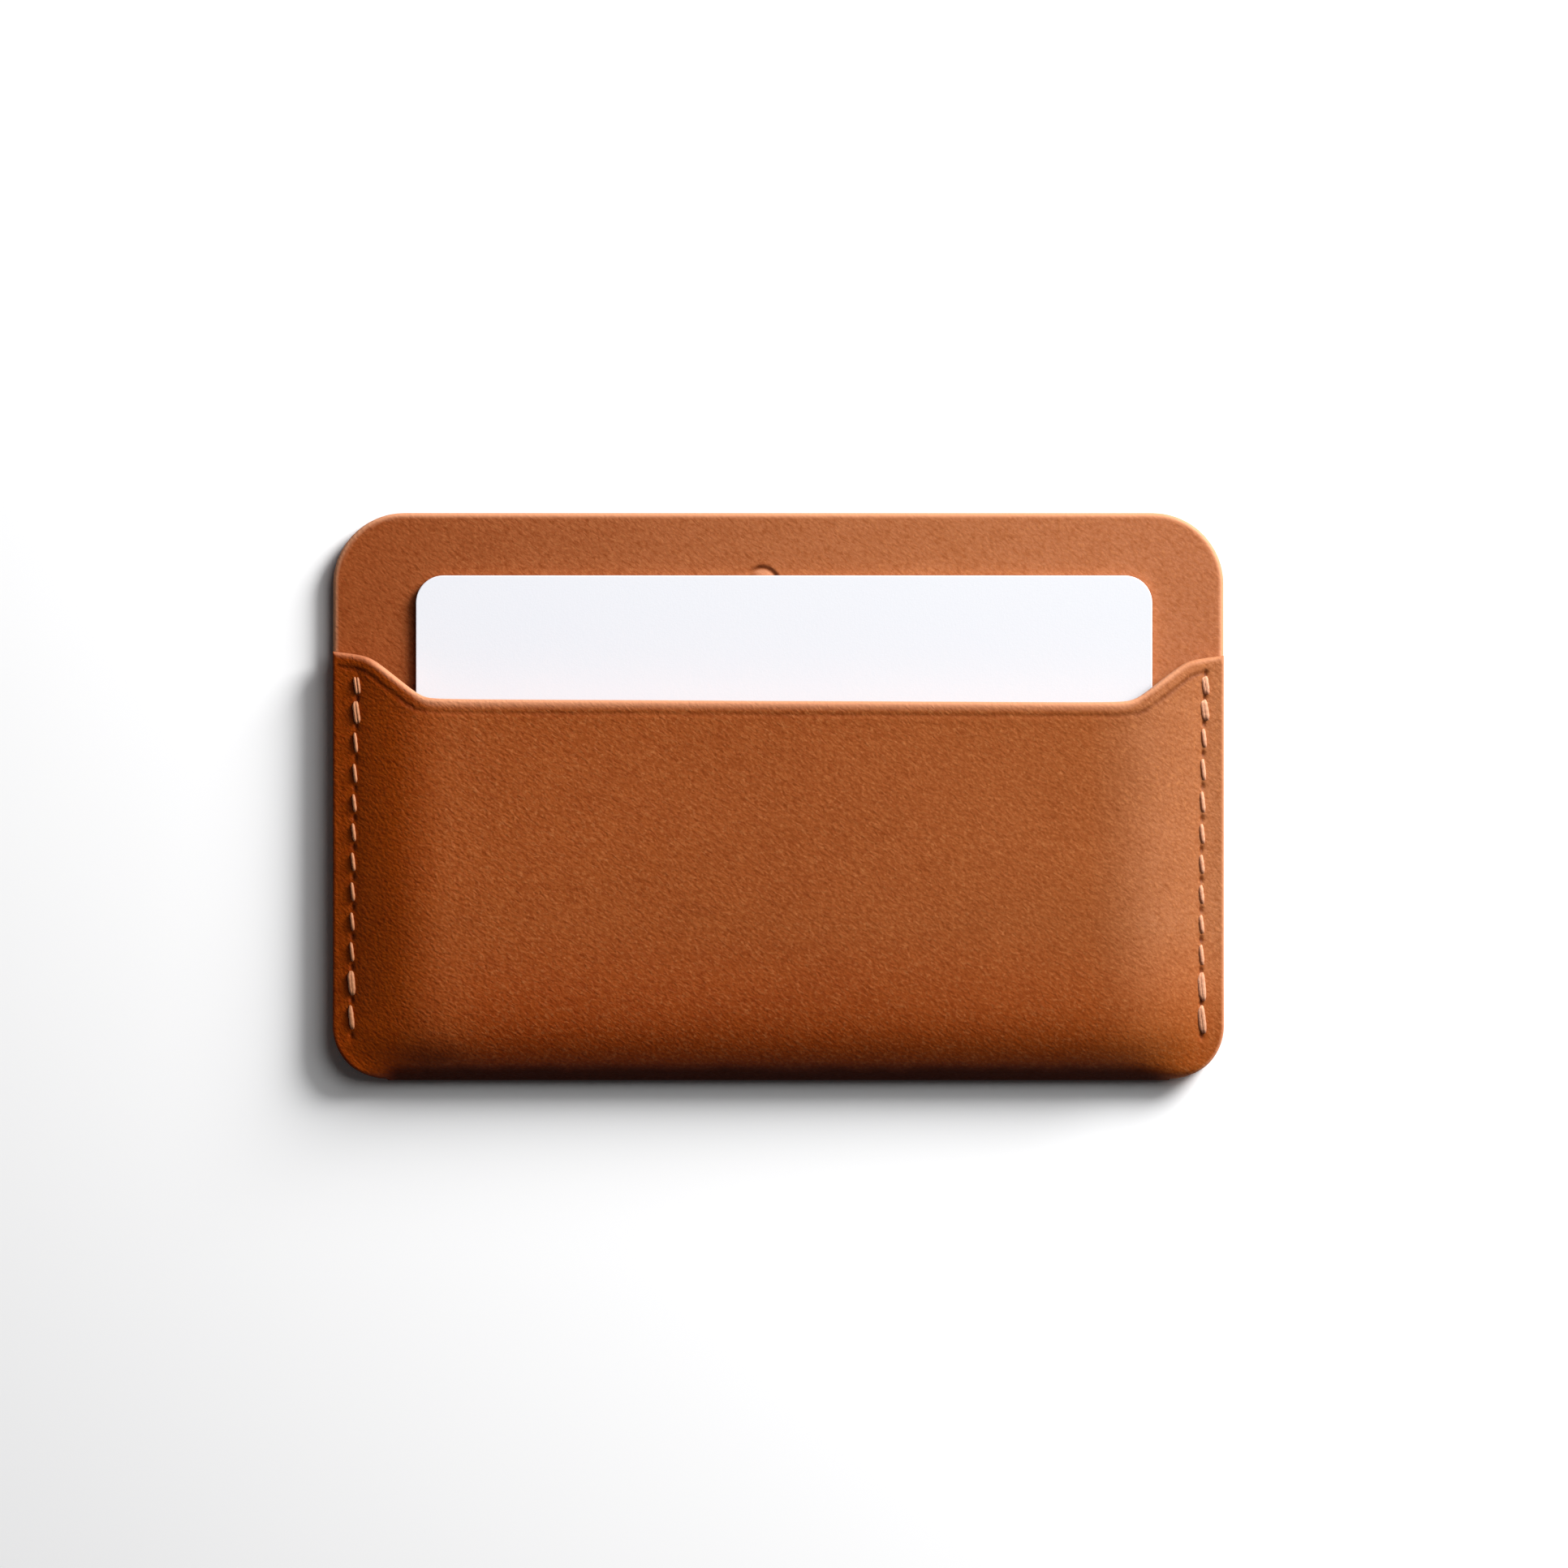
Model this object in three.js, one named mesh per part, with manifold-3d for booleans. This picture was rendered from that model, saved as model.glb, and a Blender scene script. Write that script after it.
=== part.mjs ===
// Leather card holder, in millimetres: a case folded at its foot, with a wet-moulded pocket in front
// and one card in the pocket. The holder lies on its back. +X runs along the pocket mouth, +Y from
// the fold to the open top and +Z out of the pocket front. The origin is the middle of the outline,
// on the back face.
import * as THREE from 'three';
import { mergeVertices } from 'three/addons/utils/BufferGeometryUtils.js';
import Module from 'manifold-3d';

const wasm = await Module();
wasm.setup();

// Outline of the case.
const WIDTH = 103.6;
const LENGTH = 66;
const TOP_CORNER = 8.3;
const BOTTOM_CORNER = 6.4;
const TOP_Y = LENGTH / 2;
const FOLD_Y = -LENGTH / 2;

// Layers, counted up from the back face.
const BODY_LEATHER = 1.3;
const LINING_LEATHER = 0.7;
const GLUE_LINE = 0.1;
const LINING_Z = BODY_LEATHER + GLUE_LINE;
const LINING_TOP = LINING_Z + LINING_LEATHER;
const FRONT_Z = LINING_TOP + GLUE_LINE;
const FLANGE_TOP = FRONT_Z + BODY_LEATHER;

// Moulded pocket: a flat flange at each side, a shoulder and a raised flat front.
const POCKET_RISE = 3.8;
const FLANGE_WIDTH = 4.2;
const SHOULDER_WIDTH = 6.4;
const SHOULDER_STEPS = 8;
const SHOULDER_SHRINK = 0.35;
const FOOT_ROUNDING = 6.5;
const FOOT_CORNER = 6;
const FOOT_X = WIDTH / 2 - FLANGE_WIDTH;
const POCKET_TOP = FLANGE_TOP + POCKET_RISE;

// Pocket mouth: straight across the raised front, then up the shoulders to an ear on each flange.
const MOUTH_Y = 11.1;
const MOUTH_X = 41.7;
const EAR_Y = 16.1;
const EAR_X = 47.8;
const EAR_RISE = 0.7;
const MOUTH_BEND = 2.2;

// Lockstitch down each flange: a needle thread above, a bobbin thread below, locked in each hole.
const STITCH_X = 49.3;
const STITCH_TOP_Y = 14.6;
const STITCH_PITCH = 3.51;
const STITCHES = 12;
const HOLE_LENGTH = 1.7;
const HOLE_WIDTH = 0.9;
const THREAD_RADIUS = 0.25;
const THREAD_SIDES = 6;
const THREAD_CLEARANCE = 0.08;
const LOOP_HALF = 0.35;
const RUN_START = 0.8;
const LOCK_Z = FLANGE_TOP / 2;
const LOCK_GAP = 0.3;
const GROOVE_DEPTH = 0.65;
const GROOVE_WIDTH = 1.1;

// Round mark pressed into the lining, above the pocket mouth.
const DOT_X = -1.9;
const DOT_Y = 24.8;
const DOT_RADIUS = 2.1;
const DOT_GROOVE = 0.6;
const DOT_DEPTH = 0.25;

// Standard plastic card.
const CARD_WIDTH = 85.6;
const CARD_LENGTH = 53.98;
const CARD_THICKNESS = 0.76;
const CARD_CORNER = 3.18;
const CARD_X = 0.66;
const CARD_Y = -1.3;

const REACH = 10;
const ROUND_STEPS = 8;

const ALONG_X = new THREE.Matrix4().makeBasis(
  new THREE.Vector3(0, 1, 0),
  new THREE.Vector3(0, 0, 1),
  new THREE.Vector3(1, 0, 0),
);
const ALONG_Y = new THREE.Matrix4().makeBasis(
  new THREE.Vector3(1, 0, 0),
  new THREE.Vector3(0, 0, 1),
  new THREE.Vector3(0, -1, 0),
);

// A closed geometry as a solid that can be joined and cut.
function solid(geometry) {
  geometry.deleteAttribute('normal');
  geometry.deleteAttribute('uv');
  const merged = mergeVertices(geometry, 1e-5);
  return new wasm.Manifold(new wasm.Mesh({
    numProp: 3,
    vertProperties: merged.attributes.position.array,
    triVerts: new Uint32Array(merged.index.array),
  }));
}

function geometryOf(shell) {
  const mesh = shell.getMesh();
  const geometry = new THREE.BufferGeometry();
  geometry.setAttribute('position', new THREE.BufferAttribute(mesh.vertProperties, 3));
  geometry.setIndex(new THREE.BufferAttribute(mesh.triVerts, 1));
  geometry.computeVertexNormals();
  return geometry;
}

function extrusion(shape, depth) {
  return new THREE.ExtrudeGeometry(shape, { depth, bevelEnabled: false, curveSegments: ROUND_STEPS });
}

// A plan shape (x, y) raised from low to high.
function raised(shape, low, high) {
  return solid(extrusion(shape, high - low).translate(0, 0, low));
}

// A side profile (y, z) drawn out along X, past both sides of the case.
function drawnAlongX(shape, width) {
  return solid(extrusion(shape, width).applyMatrix4(ALONG_X).translate(-width / 2, 0, 0));
}

// A front profile (x, z) drawn out along Y, past the fold and the open top.
function drawnAlongY(shape, length) {
  return solid(extrusion(shape, length).applyMatrix4(ALONG_Y).translate(0, length / 2, 0));
}

function roundedRectangle(left, right, bottom, top, bottomRadius, topRadius) {
  const shape = new THREE.Shape();
  shape.moveTo(left + bottomRadius, bottom);
  shape.absarc(right - bottomRadius, bottom + bottomRadius, bottomRadius, -Math.PI / 2, 0, false);
  shape.absarc(right - topRadius, top - topRadius, topRadius, 0, Math.PI / 2, false);
  shape.absarc(left + topRadius, top - topRadius, topRadius, Math.PI / 2, Math.PI, false);
  shape.absarc(left + bottomRadius, bottom + bottomRadius, bottomRadius, Math.PI, 1.5 * Math.PI, false);
  return shape;
}

function caseOutline(bottom) {
  return roundedRectangle(-WIDTH / 2, WIDTH / 2, bottom, TOP_Y, BOTTOM_CORNER, TOP_CORNER);
}

// Side profile between two heights, with a fold at the foot that is as round as the layer is thick.
function foldedLayer(low, high, foot, top) {
  const half = (high - low) / 2;
  const shape = new THREE.Shape();
  shape.moveTo(top, low);
  shape.lineTo(top, high);
  shape.lineTo(foot + half, high);
  shape.absarc(foot + half, low + half, half, Math.PI / 2, 1.5 * Math.PI, false);
  return shape;
}

// Side profile of the pocket: up from the fold, over a rounded foot and along the raised front.
function pocketSide(inset, low) {
  const turn = FLANGE_TOP / 2;
  const foot = FOLD_Y + inset;
  const back = Math.max(low, 0);
  const shape = new THREE.Shape();
  shape.moveTo(TOP_Y + REACH, back);
  shape.lineTo(TOP_Y + REACH, POCKET_TOP - inset);
  shape.lineTo(FOLD_Y + FOOT_ROUNDING, POCKET_TOP - inset);
  shape.absellipse(
    FOLD_Y + FOOT_ROUNDING, turn,
    FOOT_ROUNDING - inset, POCKET_TOP - inset - turn,
    Math.PI / 2, Math.PI, false,
  );
  shape.absellipse(foot + turn - back, turn, turn - back, turn - back, Math.PI, 1.5 * Math.PI, false);
  return shape;
}

// Front profile of the pocket: a flat top between two S-shaped shoulders.
function pocketFront(inset, low) {
  const footX = FOOT_X - inset * SHOULDER_SHRINK;
  const shoulder = [];
  for (let step = 0; step <= SHOULDER_STEPS; step += 1) {
    const share = step / SHOULDER_STEPS;
    const lift = share * share * (3 - 2 * share);
    shoulder.push([footX - share * SHOULDER_WIDTH, FLANGE_TOP - inset + lift * POCKET_RISE]);
  }
  const shape = new THREE.Shape();
  shape.moveTo(-footX, low);
  shape.lineTo(footX, low);
  shoulder.forEach(([x, z]) => shape.lineTo(x, z));
  shoulder.reverse().forEach(([x, z]) => shape.lineTo(-x, z));
  return shape;
}

// The raised pocket as a full block, inset from its outer surface.
function pocketBlock(inset, low) {
  const footX = FOOT_X - inset * SHOULDER_SHRINK;
  const corner = FOOT_CORNER - inset;
  const plan = roundedRectangle(-footX, footX, FOLD_Y + inset, TOP_Y + REACH, corner, corner);
  return drawnAlongY(pocketFront(inset, low), LENGTH + REACH)
    .intersect(drawnAlongX(pocketSide(inset, low), WIDTH))
    .intersect(raised(plan, low, POCKET_TOP));
}

// Everything above the pocket mouth, where the front is cut away.
function aboveMouth() {
  const side = WIDTH / 2 + REACH;
  const earSlope = EAR_RISE / (WIDTH / 2 - EAR_X);
  const right = [
    new THREE.Vector2(0, MOUTH_Y),
    new THREE.Vector2(MOUTH_X, MOUTH_Y),
    new THREE.Vector2(EAR_X, EAR_Y),
    new THREE.Vector2(side, EAR_Y + earSlope * (side - EAR_X)),
  ];
  const left = right.slice(1).reverse().map((point) => new THREE.Vector2(-point.x, point.y));
  const line = [...left, ...right.slice(1)];
  const shape = new THREE.Shape();
  shape.moveTo(line[0].x, line[0].y);
  for (let index = 1; index < line.length - 1; index += 1) {
    const bend = line[index];
    const before = line[index - 1].clone().sub(bend).setLength(MOUTH_BEND).add(bend);
    const after = line[index + 1].clone().sub(bend).setLength(MOUTH_BEND).add(bend);
    shape.lineTo(before.x, before.y);
    shape.quadraticCurveTo(bend.x, bend.y, after.x, after.y);
  }
  shape.lineTo(side, line.at(-1).y);
  shape.lineTo(side, TOP_Y + REACH);
  shape.lineTo(-side, TOP_Y + REACH);
  return raised(shape, BODY_LEATHER, POCKET_TOP + REACH);
}

// A six-sided slot, pointed at both ends.
function slotShape(x, low, high, width) {
  const shape = new THREE.Shape();
  shape.moveTo(x, low);
  shape.lineTo(x + width / 2, low + width / 2);
  shape.lineTo(x + width / 2, high - width / 2);
  shape.lineTo(x, high);
  shape.lineTo(x - width / 2, high - width / 2);
  shape.lineTo(x - width / 2, low + width / 2);
  return shape;
}

function holeY(index) {
  return STITCH_TOP_Y - index * STITCH_PITCH;
}

function stitchHoles() {
  const holes = [];
  for (const x of [-STITCH_X, STITCH_X]) {
    for (let index = 0; index <= STITCHES; index += 1) {
      const y = holeY(index);
      const slot = slotShape(x, y - HOLE_LENGTH / 2, y + HOLE_LENGTH / 2, HOLE_WIDTH);
      holes.push(raised(slot, -REACH, REACH));
    }
  }
  return wasm.Manifold.union(holes);
}

// The shallow groove that sinks the bobbin thread into the back face.
function bobbinGroove(x) {
  const low = holeY(STITCHES) - HOLE_LENGTH / 2;
  const high = holeY(0) + HOLE_LENGTH / 2;
  return raised(slotShape(x, low, high, GROOVE_WIDTH), -REACH, GROOVE_DEPTH);
}

// One piece of leather: the back, the fold at the foot and the moulded pocket front.
function outerBody() {
  const layers = drawnAlongX(foldedLayer(0, FLANGE_TOP, FOLD_Y, TOP_Y + REACH), WIDTH)
    .add(pocketBlock(0, 0))
    .intersect(raised(caseOutline(FOLD_Y), -REACH, REACH));
  const inside = foldedLayer(BODY_LEATHER, FRONT_Z, FOLD_Y + BODY_LEATHER, TOP_Y + REACH);
  return geometryOf(
    layers
      .subtract(drawnAlongX(inside, WIDTH + REACH))
      .subtract(pocketBlock(BODY_LEATHER, BODY_LEATHER))
      .subtract(aboveMouth())
      .subtract(stitchHoles())
      .subtract(bobbinGroove(-STITCH_X))
      .subtract(bobbinGroove(STITCH_X)),
  );
}

// The ring-shaped hollow of the pressed mark.
function pressedDot() {
  const inner = DOT_RADIUS - DOT_GROOVE;
  const profile = [
    new THREE.Vector2(inner, DOT_DEPTH),
    new THREE.Vector2(inner, 0),
    new THREE.Vector2(inner + DOT_GROOVE / 2, -DOT_DEPTH),
    new THREE.Vector2(DOT_RADIUS, 0),
    new THREE.Vector2(DOT_RADIUS, DOT_DEPTH),
    new THREE.Vector2(inner, DOT_DEPTH),
  ];
  const ring = new THREE.LatheGeometry(profile, 24).rotateX(Math.PI / 2);
  return solid(ring.translate(DOT_X, DOT_Y, LINING_TOP));
}

// The leather facing on the inside of the back.
function backLining() {
  const foot = FOLD_Y + BODY_LEATHER + 4 * GLUE_LINE;
  return geometryOf(
    raised(caseOutline(foot), LINING_Z, LINING_TOP)
      .subtract(pressedDot())
      .subtract(stitchHoles()),
  );
}

// A thread whose rings sit on its own bends.
class ThreadCurve extends THREE.CatmullRomCurve3 {
  getPointAt(share, target) {
    return this.getPoint(share, target);
  }

  getTangentAt(share, target) {
    return this.getTangent(share, target);
  }
}

// A thread down one side: flat runs at runZ, and a loop at lockZ in each hole.
function thread(x, runZ, lockZ) {
  const away = Math.sign(lockZ - runZ);
  const points = [];
  const place = (y, z) => points.push(new THREE.Vector3(x, y, z));
  for (let index = 0; index < STITCHES; index += 1) {
    const from = holeY(index);
    const to = holeY(index + 1);
    const neckZ = runZ + away * (THREAD_RADIUS + 2 * THREAD_CLEARANCE);
    place(from, lockZ);
    place(from - LOOP_HALF, lockZ - away * LOOP_HALF);
    place(from - LOOP_HALF, neckZ);
    place(from - RUN_START, runZ);
    place(to + RUN_START, runZ);
    place(to + LOOP_HALF, neckZ);
    place(to + LOOP_HALF, lockZ - away * LOOP_HALF);
  }
  place(holeY(STITCHES), lockZ);
  const section = new THREE.Shape();
  for (let side = 0; side < THREAD_SIDES; side += 1) {
    const angle = (2 * Math.PI * side) / THREAD_SIDES;
    const across = THREAD_RADIUS * Math.cos(angle);
    const up = THREAD_RADIUS * Math.sin(angle);
    if (side === 0) {
      section.moveTo(across, up);
    } else {
      section.lineTo(across, up);
    }
  }
  const curve = new ThreadCurve(points);
  return new THREE.ExtrudeGeometry(section, { steps: points.length - 1, extrudePath: curve });
}

function needleThread(x) {
  const runZ = FLANGE_TOP + THREAD_RADIUS + THREAD_CLEARANCE;
  return thread(x, runZ, LOCK_Z + THREAD_RADIUS + LOCK_GAP / 2);
}

function bobbinThread(x) {
  const runZ = THREAD_RADIUS + THREAD_CLEARANCE;
  return thread(x, runZ, LOCK_Z - THREAD_RADIUS - LOCK_GAP / 2);
}

function card() {
  const halfWidth = CARD_WIDTH / 2;
  const halfLength = CARD_LENGTH / 2;
  const outline = roundedRectangle(
    -halfWidth, halfWidth, -halfLength, halfLength, CARD_CORNER, CARD_CORNER,
  );
  return extrusion(outline, CARD_THICKNESS);
}

const body = new THREE.MeshStandardMaterial({ color: 0x9a5226, roughness: 0.55, metalness: 0 });
const lining = new THREE.MeshStandardMaterial({ color: 0xae663b, roughness: 0.6, metalness: 0 });
const linen = new THREE.MeshStandardMaterial({ color: 0xecb88c, roughness: 0.7, metalness: 0 });
const plastic = new THREE.MeshStandardMaterial({ color: 0xf4f5f8, roughness: 0.35, metalness: 0 });

const holder = new THREE.Group();

function addPiece(name, geometry, material) {
  const piece = new THREE.Mesh(geometry, material);
  piece.name = name;
  holder.add(piece);
  return piece;
}

addPiece('outer_body', outerBody(), body);
addPiece('back_lining', backLining(), lining);
for (const [side, x] of [['left', -STITCH_X], ['right', STITCH_X]]) {
  addPiece(`needle_thread_${side}`, needleThread(x), linen);
  addPiece(`bobbin_thread_${side}`, bobbinThread(x), linen);
}
addPiece('card', card(), plastic).position.set(CARD_X, CARD_Y, FRONT_Z);

export default holder;
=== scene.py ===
# Leather card holder: the looks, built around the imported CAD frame. Lengths are in millimetres,
# and MM turns them into Blender's metres. Pairs keyed -1 and 1 are for the left and right side.
import math

import bpy
import numpy as np
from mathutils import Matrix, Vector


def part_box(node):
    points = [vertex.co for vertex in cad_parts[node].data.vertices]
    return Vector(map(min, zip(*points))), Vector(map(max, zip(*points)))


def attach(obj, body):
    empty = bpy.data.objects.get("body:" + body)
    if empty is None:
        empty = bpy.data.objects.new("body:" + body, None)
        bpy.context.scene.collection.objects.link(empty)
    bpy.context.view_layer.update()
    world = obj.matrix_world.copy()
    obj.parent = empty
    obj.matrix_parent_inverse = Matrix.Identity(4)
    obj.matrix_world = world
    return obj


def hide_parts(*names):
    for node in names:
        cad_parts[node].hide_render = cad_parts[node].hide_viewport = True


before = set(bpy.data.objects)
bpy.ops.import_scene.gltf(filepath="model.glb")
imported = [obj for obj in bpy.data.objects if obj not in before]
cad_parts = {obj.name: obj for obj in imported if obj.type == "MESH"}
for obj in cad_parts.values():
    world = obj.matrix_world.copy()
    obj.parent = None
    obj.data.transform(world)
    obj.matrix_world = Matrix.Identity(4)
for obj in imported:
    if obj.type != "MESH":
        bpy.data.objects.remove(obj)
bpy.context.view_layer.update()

MM = 0.001


def node_box(node):
    """A CAD node's lowest and highest corner, in millimetres."""
    low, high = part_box(node)
    return [value / MM for value in low], [value / MM for value in high]


# Sizes that come from the frame.
BODY_LOW, BODY_HIGH = node_box("outer_body")
LINING_LOW, LINING_HIGH = node_box("back_lining")
CARD_LOW, CARD_HIGH = node_box("card")
STITCH_LOW, STITCH_HIGH = node_box("needle_thread_right")

SIDE_X = BODY_HIGH[0]
TOP_Y = BODY_HIGH[1]
FOLD_Y = BODY_LOW[1]
POCKET_TOP = BODY_HIGH[2]
LINING_TOP = LINING_HIGH[2]
CARD_HALF = (CARD_HIGH[0] - CARD_LOW[0]) / 2

# The case: its outline, its leather and the fold at the foot.
TOP_CORNER = 8.3
BOTTOM_CORNER = 6.4
LEATHER = 1.3
EDGE_Z = 3.45
FOLD_TURN = 1.75
WALL_START = 6.5
SIDE_ROUNDING = 0.3
MOUTH_ROUNDING = 0.5
INNER_ROUNDING = 0.12
FLESH_MOUTH_ROUNDING = 0.35
THINNEST = 0.35

# The moulded pocket front: flanks at the sides, and the roll down to the fold.
FLANK_WIDTH = 13.9
FLANK_START = 1.46
FLANK_END = 2.85
FOOT_INSET = {-1: 0.3, 1: 1.8}
FOOT_SOFTNESS = {-1: 0.24, 1: 0.0}
FOOT_NEAR = 1.0
FOOT_FAR = 11.0
ROLL_WIDTH = 17.5
ROLL_POWER = 4.8
ROLL_ROOT = 0.8
FLANGE_ROLL = 3.0
CROWN = 0.12
MOUTH_FALL = 0.7
WAVE_ROOM = 0.1
WAVE_FADE = 4.0

# Hand-worked unevenness: height, seed and length of each wave.
FRONT_WAVES = ((0.05, 5, 26.0), (0.02, 9, 7.0))
LINING_WAVES = ((0.03, 21, 30.0),)

# The room that the case leaves for the facing and for the card, pushed fully in.
LINING_CLEARANCE = 0.03
CARD_PUSH = 3.0
CARD_GAP = 0.1
CARD_THINNEST = 0.3

# The pocket mouth and the crease along it.
MOUTH_Y = 11.1
MOUTH_SKEW = -0.0048
MOUTH_X = 41.4
EAR_X = 47.7
EAR_Y = 16.15
EAR_SLOPE = 0.12
MOUTH_BEND = 1.1
CREASE_AT = 1.6
CREASE_HALF = 0.3
CREASE_DEPTH = 0.05
SWELL_HALF = 0.6
SWELL = 0.04
SLANTING_SWELL = 0.03

# Stitches: the ends are tacked with shorter stitches and a second strand.
STITCHES = 12
STITCH_X = (STITCH_LOW[0] + STITCH_HIGH[0]) / 2
STITCH_TOP_Y = STITCH_HIGH[1] - 0.45
STITCH_END_Y = STITCH_LOW[1] - 0.1
STITCH_SLANT = 0.13
STITCH_SINK = 0.09
STITCH_CROWN = 0.12
STITCH_ARCH = 0.06
STITCH_DIVE = 0.56
STITCH_TAPER = 0.38
STEPS_PER_STITCH = 24
TACKED = (0, 1, STITCHES - 2, STITCHES - 1)
TACK_SPREAD = {-1: (0.80, 0.78, 0.62, 0.2), 1: (0.46, 0.52, 0.54, 0.52)}
TACK_SWELL = {-1: (0.85, 1.0, 1.3, 1.2), 1: (1.1, 1.15, 1.2, 1.15)}
TACK_LEAN = (-0.06, 0.08)
TACK_LIFT = 0.02
TACK_INSET = 0.05
STITCH_GAPS = {
    -1: (0.62, 0.55) + (0.82,) * 8 + (0.62, 0.85),
    1: (0.52, 0.52) + (0.82,) * 8 + (0.48, 0.50),
}
STITCH_LENGTHS = {
    -1: (2.9, 3.35, 3.65, 3.5, 3.4, 3.4, 3.45, 3.5, 3.45, 3.55, 3.75, 4.2),
    1: (2.75, 3.0, 3.5, 3.8, 3.75, 3.6, 3.5, 3.5, 3.45, 3.65, 3.8, 3.8),
}

# The thread, and the marks that it leaves in the leather.
THREAD_HALF_WIDTH = {-1: 0.215, 1: 0.27}
THREAD_HALF_HEIGHT = 0.2
THREAD_SIDES = 14
THREAD_TWIST = 2.4
BOBBIN_SCALE = 0.9
BOBBIN_REST = 0.33
BOBBIN_SWING = 0.8
BOBBIN_TOP = 1.4
BOBBIN_FLOOR = THREAD_HALF_HEIGHT + 0.03
TROUGH_DEPTH = 0.09
TROUGH_HALF = 0.85
HOLE_LENGTH = 0.42
HOLE_WIDTH = 0.22
FAINT_HOLE = 0.35
FRONT_HOLE_DEPTH = 0.2
BACK_HOLE_DEPTH = 0.45
BACK_GROOVE = 3.4
# Painted shade in the stitch holes.
HOLE_SHADE = {-1: 0.35, 1: 0.75}

# The pressed mark in the facing.
MARK_X = -1.9
MARK_Y = 24.8
MARK_RADIUS = 2.1
MARK_DEPTH = 0.2
# The mark's wall carries painted shade on the side away from the light, and its inner slope a
# painted highlight.
MARK_LIGHT_TURN = 58
MARK_WALL_HALF = 0.27
MARK_WALL_SHADE = 0.52
MARK_HIGHLIGHT_SHARE = 0.6
MARK_FIELD = 3.0
MARK_STEP = 0.16
LINING_ROUNDING = 0.5
LINING_BACK_ROUNDING = 0.08
LINING_STEP = 1.3

# The card.
CARD_CORNER = 3.18
CARD_CORNER_STEPS = 12
CARD_ROUNDING = 0.07
CARD_BEVEL = 0.02
CARD_RIM = 0.14
CARD_MIDDLE = 2.0

# Where the rows and columns of the leather lie, by distance from an edge, a hole or a seam.
FAR = 99.0
EDGE_ROWS = (0, 0.05, 0.14, 0.28, 0.45)
SIDE_EDGE_ROWS = EDGE_ROWS + (0.65, 0.95, 1.3)
BACK_EDGE_ROWS = EDGE_ROWS + (0.65,)
LINING_EDGE_ROWS = EDGE_ROWS + (0.7, 1.1, 1.8)
MOUTH_ROWS = EDGE_ROWS + (0.7, 1.0, 1.22, 1.36, 1.5, 1.65, 1.8, 1.94, 2.1, 2.35, 2.7, 3.1)
FRONT_HOLE_ROWS = (-1.15, -0.8, -0.55, -0.36, -0.18, 0.0, 0.18, 0.36, 0.55, 0.8, 1.15)
BACK_HOLE_ROWS = (-0.9, -0.5, -0.25, 0, 0.25, 0.5, 0.9)
WALL_STEPS = 34
FOLD_STEPS = 12
FOLD_ROWS_BEFORE_BACK = 10

# The leather's pale cut edges, with painted highlight on the lit side, and painted shade along the
# left edge, its corner and the foot.
LIT_FROM = -25
LIT_TO = 30
PALE_EDGE_AND_HIGHLIGHT_SHARE = 0.8
# Painted shade along the left edge, stronger at its bottom corner.
LEFT_EDGE_SHADE = 0.22
CORNER_EDGE_SHADE = 0.4
SHADED_X = -40.0
SHADED_HALF_X = 4.5
SHADED_RISE = 2.6
SHADED_HALF_Y = 1.9
SHADED = 0.3

# Direction of the leather creases, radians, and depth of the grain.
GRAIN_TURN = -0.6
BODY_GRAIN = 0.037
LINING_GRAIN = 0.024

# Colours, linear. Tones run from left to right across the case: the middle tone is the leather's
# own, and the change towards the sides is painted light, painted shade deepening the left flank and
# painted sheen paling the right one. Tints multiply a colour.
BODY_TONES_WITH_PAINTED_LIGHT = (
    (-52, (0.308, 0.0510, 0.0011, 1)),
    (-44.5, (0.305, 0.0520, 0.0018, 1)),
    (-38.5, (0.316, 0.0750, 0.0140, 1)),
    (0, (0.294, 0.0735, 0.0156, 1)),
    (36, (0.315, 0.0885, 0.0225, 1)),
    (43, (0.344, 0.1235, 0.0490, 1)),
    (52, (0.341, 0.1250, 0.0500, 1)),
)
# The facing's own tan, lighter towards the right: painted light.
LINING_TONES_WITH_PAINTED_LIGHT = (
    (-52, (0.302, 0.0735, 0.0173, 1)),
    (22, (0.423, 0.1500, 0.0630, 1)),
    (52, (0.430, 0.1550, 0.0710, 1)),
)
# The thread's tones grow darker towards the left: painted shade.
THREAD_DARK_TONES = ((-50, (0.40, 0.150, 0.064, 1)), (50, (0.50, 0.217, 0.117, 1)))
THREAD_LIGHT_TONES = ((-50, (0.52, 0.224, 0.106, 1)), (50, (0.66, 0.325, 0.193, 1)))
# Painted shade along the foot, and painted light that lifts the bottom left corner.
FOOT_SHADE_FROM = -30
FOOT_SHADE_TO = -15
FOOT_SHADE_TINT = (0.96, 0.64, 0.24, 1)
CORNER_LIGHT_TINT = (1.34, 1.36, 1.0, 1)
DRIFT_TINT = (0.85, 0.74, 0.54, 1)
PATCH_TINT = (0.80, 0.66, 0.43, 1)
VALLEY_TINT = (0.70, 0.52, 0.27, 1)
FURROW_TINT = (0.70, 0.53, 0.28, 1)
PORE_TINT = (0.72, 0.55, 0.30, 1)
# Deep colours darken the holes, the crease, the fold, the foot, the left edge and the mark's wall,
# mostly as painted shade; the edge colour is the pale cut edge with painted highlight.
DEEP_TINT = (0.62, 0.38, 0.12, 1)
DEEP_COLOUR = (0.050, 0.008, 0.0006, 1)
PALE_EDGE_AND_HIGHLIGHT_COLOUR = (0.62, 0.282, 0.152, 1)
# Light flecks on the grain: painted glints.
GLINT_COLOUR = (0.52, 0.195, 0.066, 1)
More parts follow.
